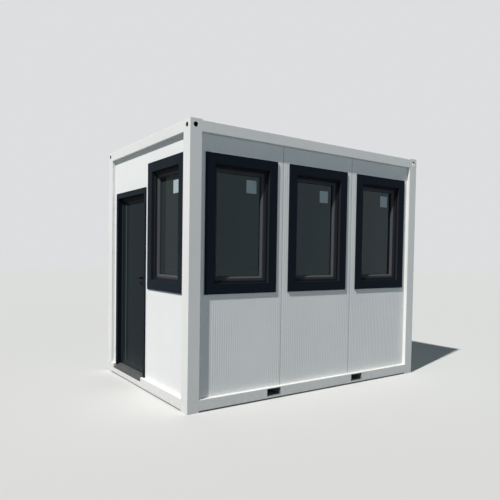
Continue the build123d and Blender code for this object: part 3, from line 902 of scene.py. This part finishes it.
def add_window_details():
    """Seals, beads, glazing, drain slots in painted shade, corner joints and blank labels of the
    four windows.
    """
    pieces = {
        "window_seals": (RUBBER, "handle_black"),
        "trim_linings": (LINING, "trim_grey"),
        "glazing_beads": (BEAD, "window_grey"),
        "inner_sash_faces": (FINISHES["inside_white"], "inside_white"),
        "outer_glass": (FINISHES["glass"], "glass"),
        "inner_glass": (INNER_GLASS, "glass"),
        "glass_spacers": (SPACER, "hinge_steel"),
        "blank_labels": (LABEL, "inside_white"),
        "trim_joints": (RUBBER, "trim_grey"),
        "drain_slot_shades": (RUBBER, "handle_black"),
    }
    meshes = {name: bmesh.new() for name in pieces}
    seal_front = GLASS_DEPTH - GLASS_SEAL_THICKNESS
    outer_seal = seal_section(GLASS_SEAL_WIDTH, seal_front, GLASS_DEPTH)
    inner_seal = seal_section(GLASS_SEAL_WIDTH, GLASS_BACK + GLASS_SEAL_THICKNESS, GLASS_BACK)
    for wall_name, along, width, label_place in WINDOWS:
        wall = WALLS[wall_name]
        middle = (along, WINDOW_MIDDLE)
        trim = (width, WINDOW_HEIGHT)
        reveal = shrink(trim, TRIM_FACE)
        lip = shrink(reveal, LIP_FACE)
        glazing = shrink(lip, SASH_FACE)
        pane = shrink(glazing, -GLASS_BITE)
        for name, size, section in (
            ("window_seals", glazing, outer_seal),
            ("window_seals", glazing, inner_seal),
            ("window_seals", lip, LIP_SEAL_SECTION),
            ("trim_linings", reveal, LINING_SECTION),
            ("glazing_beads", glazing, BEAD_SECTION),
            ("inner_sash_faces", glazing, INNER_SASH_SECTION),
            ("glass_spacers", glazing, SPACER_SECTION),
        ):
            sweep_ring(meshes[name], wall, middle, size, section)
        add_sheet(meshes["outer_glass"], wall, middle, pane, GLASS_DEPTH)
        add_sheet(meshes["inner_glass"], wall, middle, pane, GLASS_BACK - SHEET_THICKNESS)
        add_label(meshes["blank_labels"], wall, middle, glazing, label_place)
        add_corner_joints(meshes["trim_joints"], wall, middle, trim, reveal)
        # Dark plates in the trim: painted shade of its drain slots
        add_drain_slot_shades(meshes["drain_slot_shades"], wall, middle, width)
    for name, (material, slot) in pieces.items():
        piece = add_piece(name, meshes[name], material, "cabin")
        if name == "outer_glass":
            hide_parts("window_panes")


def add_sheet(mesh, wall, middle, size, front):
    """One sheet of glass."""
    centre = wall.point(*middle, front + SHEET_THICKNESS)
    plate(mesh, centre, wall.along, UP, size, SHEET_CORNER, SHEET_THICKNESS, SHEET_BEVEL)


def add_label(mesh, wall, middle, glazing, place):
    """A blank pale square of film on the glass."""
    from_right, from_top = place
    across = middle[0] + glazing[0] / 2 - from_right - LABEL_SIZE[0] / 2
    up = middle[1] + glazing[1] / 2 - from_top - LABEL_SIZE[1] / 2
    plate(mesh, wall.point(across, up, GLASS_DEPTH - LABEL_GAP), wall.along, UP, *BLANK_LABEL)


def add_corner_joints(mesh, wall, middle, outer, inner):
    """Hairline mitre joints across the four corners of a trim."""
    for side in (-1, 1):
        for level in (-1, 1):
            ends = []
            for size, gap in ((outer, MITRE_END_GAP), (inner, 0.0)):
                across = middle[0] + side * (size[0] / 2 - gap)
                up = middle[1] + level * (size[1] / 2 - gap)
                ends.append(wall.point(across, up, TRIM_DEPTH + MITRE_SINK))
            run = (ends[1] - ends[0]).normalized()
            width = run.cross(wall.out) * MITRE_WIDTH
            bar(mesh, ends[0], ends[1], width, wall.out * MITRE_PROUD)


def add_drain_slot_shades(mesh, wall, middle, width):
    """Two small dark plates in the bottom of the window trim: painted shade of its drain slots."""
    up = WINDOW_FOOT + TRIM_FACE * SLOT_UP
    for side in (-1, 1):
        place = wall.point(middle[0] + side * width * SLOT_ACROSS, up, TRIM_DEPTH + SLOT_SINK)
        plate(mesh, place, wall.along, UP, *DRAIN_SLOT_SHADE)


def add_window_levers():
    """A lever on a rounded rose on the room side of each sash, hanging down."""
    mesh = bmesh.new()
    reach = WINDOW_ROSE_THICKNESS + WINDOW_NECK_LENGTH + WINDOW_LEVER_THICKNESS / 2
    length = WINDOW_LEVER_LENGTH - LEVER_WIDTH / 2
    grip = (reach, length, WINDOW_NECK_RADIUS, WINDOW_LEVER_THICKNESS)
    for wall_name, along, width, _ in WINDOWS:
        wall = WALLS[wall_name]
        glazing = width - 2 * (TRIM_FACE + LIP_FACE + SASH_FACE)
        sash = width - 2 * (TRIM_FACE + LIP_FACE - SASH_OVERLAP)
        pivot = wall.point(along + (glazing + sash) / 4, WINDOW_HANDLE_HEIGHT, SASH_BACK)
        plate(mesh, pivot, -wall.along, UP, *WINDOW_ROSE)
        lever(mesh, pivot, -wall.out, -UP, *grip)
    piece = add_piece("window_levers", mesh, FINISHES["inside_white"], "cabin")
    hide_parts("window_handles")


def add_door_levers():
    """A lever on a round rose and a key rose below it, on both faces of the leaf."""
    wall = WALLS["left"]
    sets = bmesh.new()
    keyhole_shades = bmesh.new()
    pivot_across = wall.span("door_handles")[1] - DOOR_ROSE_RADIUS
    pivot_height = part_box("door_handles")[1].z - DOOR_ROSE_RADIUS
    leaf_low, leaf_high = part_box("door_leaf")
    key_drop = UP * KEY_ROSE_DROP
    reach = DOOR_LEVER_STANDOFF + DOOR_LEVER_THICKNESS / 2
    length = DOOR_LEVER_LENGTH - LEVER_WIDTH / 2
    grip = (reach, length, DOOR_NECK_RADIUS, DOOR_LEVER_THICKNESS)
    for face_x, out in ((leaf_low.x, wall.out), (leaf_high.x, -wall.out)):
        pivot = Vector((face_x, -pivot_across, pivot_height))
        lathe(sets, pivot, out, rose_profile(DOOR_ROSE_THICKNESS))
        lathe(sets, pivot - key_drop, out, rose_profile(KEY_ROSE_THICKNESS))
        lever(sets, pivot, out, -wall.along, *grip)
        barrel = pivot - key_drop + out * (KEY_ROSE_THICKNESS - BARREL_SINK)
        lathe(sets, barrel, out, BARREL_PROFILE)
        # A dark plate on the barrel: painted shade of the keyhole
        plate(keyhole_shades, barrel + out * KEYHOLE_START, UP.cross(out), UP, *KEYHOLE_SHADE)
    piece = add_piece("door_levers", sets, FINISHES["handle_black"], "door")
    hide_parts("door_handles")
    # The keyhole plates: painted shade
    add_piece("keyhole_shades", keyhole_shades, RUBBER, "door")


def rose_profile(thickness):
    """Profile of a round rose with a softened rim, as (radius, height) pairs."""
    rim = [(DOOR_ROSE_RADIUS - inset, thickness - drop) for inset, drop in ROSE_RIM]
    return [(DOOR_ROSE_RADIUS, 0.0)] + rim


def add_door_details():
    """Seals, the leaf's raised border and bead, the latch and strike plates, and the foot seal."""
    leaf_low, leaf_high = WALLS["left"].span("door_leaf")
    low_corner, high_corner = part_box("door_leaf")
    face = HALF_LENGTH + low_corner.x
    back = HALF_LENGTH + high_corner.x
    shown = (leaf_low + LIP_COVER, leaf_high - LIP_COVER, high_corner.z - LIP_COVER)
    add_door_seals(shown, low_corner.z, face)
    add_leaf_border(shown, low_corner.z, face)
    add_door_plates(leaf_high, (face + back) / 2)
    add_foot_seal(shown, low_corner.z, face)


def add_door_seals(shown, leaf_foot, leaf_face):
    """The seal on the back of the frame's lip; shown is the (low, high, head) edges it follows."""
    wall = WALLS["left"]
    low, high, head = shown
    seals = bmesh.new()
    front, back = leaf_face - DOOR_SEAL_REACH, leaf_face - DOOR_SEAL_GAP
    section = [
        (-DOOR_SEAL_TUCK, back),
        (DOOR_SEAL_WIDTH, back),
        (DOOR_SEAL_WIDTH * 0.8, front + DOOR_SEAL_SHOULDER),
        (DOOR_SEAL_WIDTH * 0.3, front),
        (-DOOR_SEAL_TUCK, front),
    ]
    for edge, side in ((low, 1), (high, -1)):
        upright(seals, wall, edge, side, section, leaf_foot, head - leaf_foot)
    loop = [wall.point(low, head - inward, depth) for inward, depth in section]
    prism(seals, loop, wall.along * (high - low))
    add_piece("door_seals", seals, RUBBER, "cabin")


def add_leaf_border(shown, leaf_foot, leaf_face):
    """The leaf's raised stiles and head rail, and the light bead beside the stiles, a painted
    reflection.
    """
    wall = WALLS["left"]
    low, high, head = shown[0] + BORDER_GAP, shown[1] - BORDER_GAP, shown[2] - BORDER_GAP
    inner = (low + HINGE_STILE_WIDTH, high - LATCH_STILE_WIDTH, head - HEAD_RAIL_HEIGHT)
    foot = leaf_foot + BORDER_FOOT_GAP
    face, back = leaf_face - BORDER_PROUD, leaf_face + BORDER_SINK
    border = bmesh.new()
    arch(border, wall, (low, high, head), inner, foot, face, back, BORDER_BEVEL)
    add_piece("leaf_border", border, FINISHES["door_grey"], "door")
    bead = bmesh.new()
    bead_face = face + BEAD_SINK
    section = [
        (-BEAD_LAP, back),
        (-BEAD_LAP, bead_face),
        (BEAD_WIDTH - BEAD_BEVEL, bead_face),
        (BEAD_WIDTH, bead_face + BEAD_BEVEL),
        (BEAD_WIDTH, back),
    ]
    for edge, side in ((inner[0], 1), (inner[1], -1)):
        upright(bead, wall, edge, side, section, foot, inner[2] - foot)
    # The bead's pale finish: painted reflection of a bright edge in the glossy leaf
    add_piece("leaf_reflection_bead", bead, DOOR_BEAD_REFLECTION, "door")


def add_door_plates(leaf_edge, depth):
    """The latch plate with its bolt on the leaf's edge, and the strike plate in the rebate."""
    wall = WALLS["left"]
    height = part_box("door_handles")[1].z - DOOR_ROSE_RADIUS - KEY_ROSE_DROP / 2
    latch = bmesh.new()
    plate(latch, wall.point(leaf_edge, height, depth), -wall.out, UP, *LATCH_PLATE)
    bolt = wall.point(leaf_edge + BOLT_START, height + KEY_ROSE_DROP / 2, depth)
    plate(latch, bolt, -wall.out, UP, *LATCH_BOLT)
    add_piece("latch_plate", latch, SCREW, "door")
    strike = bmesh.new()
    rebate = wall.point(leaf_edge + REBATE_GAP, height, depth)
    plate(strike, rebate, wall.out, UP, *STRIKE_PLATE)
    add_piece("strike_plate", strike, SCREW, "cabin")


def add_foot_seal(shown, leaf_foot, leaf_face):
    """The rubber flap under the leaf."""
    wall = WALLS["left"]
    flap = bmesh.new()
    start = shown[0] + FLAP_END_GAP
    top, tip = leaf_foot + FLAP_LAP, leaf_foot - FLAP_DROP
    front, back = leaf_face + FLAP_FRONT, leaf_face + FLAP_BACK
    loop = [
        wall.point(start, top, front),
        wall.point(start, top, back),
        wall.point(start, tip, back - FLAP_TAPER),
        wall.point(start, tip, front + FLAP_TAPER),
    ]
    prism(flap, loop, wall.along * (shown[1] - shown[0] - 2 * FLAP_END_GAP))
    add_piece("foot_seal", flap, RUBBER, "door")


def arch(mesh, wall, outer, inner, foot, face, back, bevel):
    """Two uprights and a head, mitred; outer and inner are (low, high, head) edges."""
    section_points = (
        (0.0, back, outer),
        (0.0, face + bevel, outer),
        (bevel, face, outer),
        (-bevel, face, inner),
        (0.0, face + bevel, inner),
        (0.0, back, inner),
    )
    loops = []
    for corner in range(4):
        loop = []
        for inset, depth, (low, high, head) in section_points:
            across = low + inset if corner < 2 else high - inset
            level = foot if corner in (0, 3) else head - inset
            loop.append(wall.point(across, level, depth))
        loops.append(loop)
    loft(mesh, loops)


def add_roof_screws():
    """Domed screws with washers along the flat stretches of the roof sheet."""
    screws = bmesh.new()
    sheet_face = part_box("roof_sheet")[0].z + ROOF_SKIN
    for column in range(ROOF_FLATS):
        along = (column - (ROOF_FLATS - 1) / 2) * ROOF_RIB_PITCH
        for row in SCREW_ROWS:
            foot = Vector((along, row, sheet_face))
            lathe(screws, foot, UP, SCREW_PROFILE, SCREW_SEGMENTS)
    add_piece("roof_screws", screws, SCREW, "cabin")


def add_roof_strips():
    """Sealing strips where the roof sheet meets the beams."""
    low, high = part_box("roof_sheet")
    strips = bmesh.new()
    for edge, side in ((low.y, -1), (high.y, 1)):
        loop = [(low.x, edge - side * inward, low.z + rise) for inward, rise in STRIP_SECTION]
        prism(strips, loop, (high.x - low.x, 0, 0))
    for edge, side in ((low.x, -1), (high.x, 1)):
        loop = [(edge - side * inward, low.y, low.z + rise) for inward, rise in STRIP_SECTION]
        prism(strips, loop, (0, high.y - low.y, 0))
    add_piece("roof_flashings", strips, FINISHES["roof_steel"], "cabin")


def seen_ray(tree):
    """Factor that is 1 for what the camera sees, straight on or through glass and gloss."""
    rays = tree.nodes.new("ShaderNodeLightPath")
    factor = rays.outputs["Is Camera Ray"]
    for name in ("Is Glossy Ray", "Is Transmission Ray"):
        factor = calculate(tree, "MAXIMUM", factor, rays.outputs[name])
    return factor


def add_stage():
    """A plain pale floor."""
    bpy.ops.mesh.primitive_plane_add(size=FLOOR_SIZE)
    floor = bpy.context.object
    floor.name = "floor"
    material, tree, shader = new_material("floor", FLOOR_SHOWN, 0.9, 0.1)
    colour = mix_colour(tree, seen_ray(tree), FLOOR_BOUNCE, FLOOR_SHOWN)
    tree.links.new(colour, shader.inputs["Base Color"])
    floor.data.materials.append(material)


def add_key_lamp():
    """A soft key lamp from the upper left."""
    lamp = bpy.data.lights.new("key", "SUN")
    lamp.energy = KEY_STRENGTH
    lamp.color = KEY_COLOUR
    lamp.angle = KEY_SOFTNESS
    key = bpy.data.objects.new("key", lamp)
    bpy.context.scene.collection.objects.link(key)
    key.rotation_euler = Vector(KEY_DIRECTION).to_track_quat("-Z", "Y").to_euler()


def add_fill():
    """A pale world as fill, brighter behind and in front of the unit, and a plain backdrop."""
    world = bpy.data.worlds.new("studio")
    bpy.context.scene.world = world
    world.use_nodes = True
    tree = world.node_tree
    soft = tree.nodes["Background"]
    soft.inputs["Color"].default_value = (*FILL_COLOUR, 1.0)
    direction = tree.nodes.new("ShaderNodeTexCoord").outputs["Generated"]
    height = split_axes(tree, direction)["Z"]
    level = map_range(tree, height, (0.0, 1.0), (FILL_HORIZON, FILL_ZENITH))
    lowness = map_range(tree, height, (0.0, LOBE_TOP), (1.0, 0.0))
    for middle, strength in ((BEHIND, FILL_BEHIND), (IN_FRONT, FILL_IN_FRONT)):
        toward = tree.nodes.new("ShaderNodeVectorMath")
        toward.operation = "DOT_PRODUCT"
        toward.inputs[1].default_value = middle
        tree.links.new(direction, toward.inputs[0])
        lobe = map_range(tree, toward.outputs["Value"], (0.0, 1.0), (0.0, strength))
        level = calculate(tree, "MULTIPLY_ADD", lobe, lowness, level)
    tree.links.new(level, soft.inputs["Strength"])
    shown = tree.nodes.new("ShaderNodeBackground")
    shown.inputs["Color"].default_value = (*BACKDROP_SHOWN, 1.0)
    mix = tree.nodes.new("ShaderNodeMixShader")
    sources = (seen_ray(tree), soft.outputs["Background"], shown.outputs["Background"])
    for source, socket in zip(sources, mix.inputs):
        tree.links.new(source, socket)
    tree.links.new(mix.outputs["Shader"], tree.nodes["World Output"].inputs["Surface"])


def add_camera():
    """The photo's own viewpoint, with its slight roll and raised frame."""
    lens = bpy.data.cameras.new("camera")
    lens.sensor_width = SENSOR_WIDTH
    lens.lens = FOCAL_PIXELS / IMAGE_SIZE * SENSOR_WIDTH
    lens.shift_y = (OPTICAL_CENTRE_Y - IMAGE_SIZE / 2) / IMAGE_SIZE
    lens.clip_end = VIEW_LIMIT
    camera = bpy.data.objects.new("camera", lens)
    bpy.context.scene.collection.objects.link(camera)
    forward = Vector(
        (
            math.sin(CAMERA_AZIMUTH) * math.cos(CAMERA_PITCH),
            math.cos(CAMERA_AZIMUTH) * math.cos(CAMERA_PITCH),
            math.sin(CAMERA_PITCH),
        )
    )
    unrolled = forward.to_track_quat("-Z", "Y")
    roll = Quaternion(forward, -CAMERA_ROLL)
    camera.rotation_mode = "QUATERNION"
    camera.rotation_quaternion = roll @ unrolled
    camera.location = CAMERA_PLACE
    bpy.context.scene.camera = camera


main()
bpy.context.scene.view_settings.view_transform = "Standard"
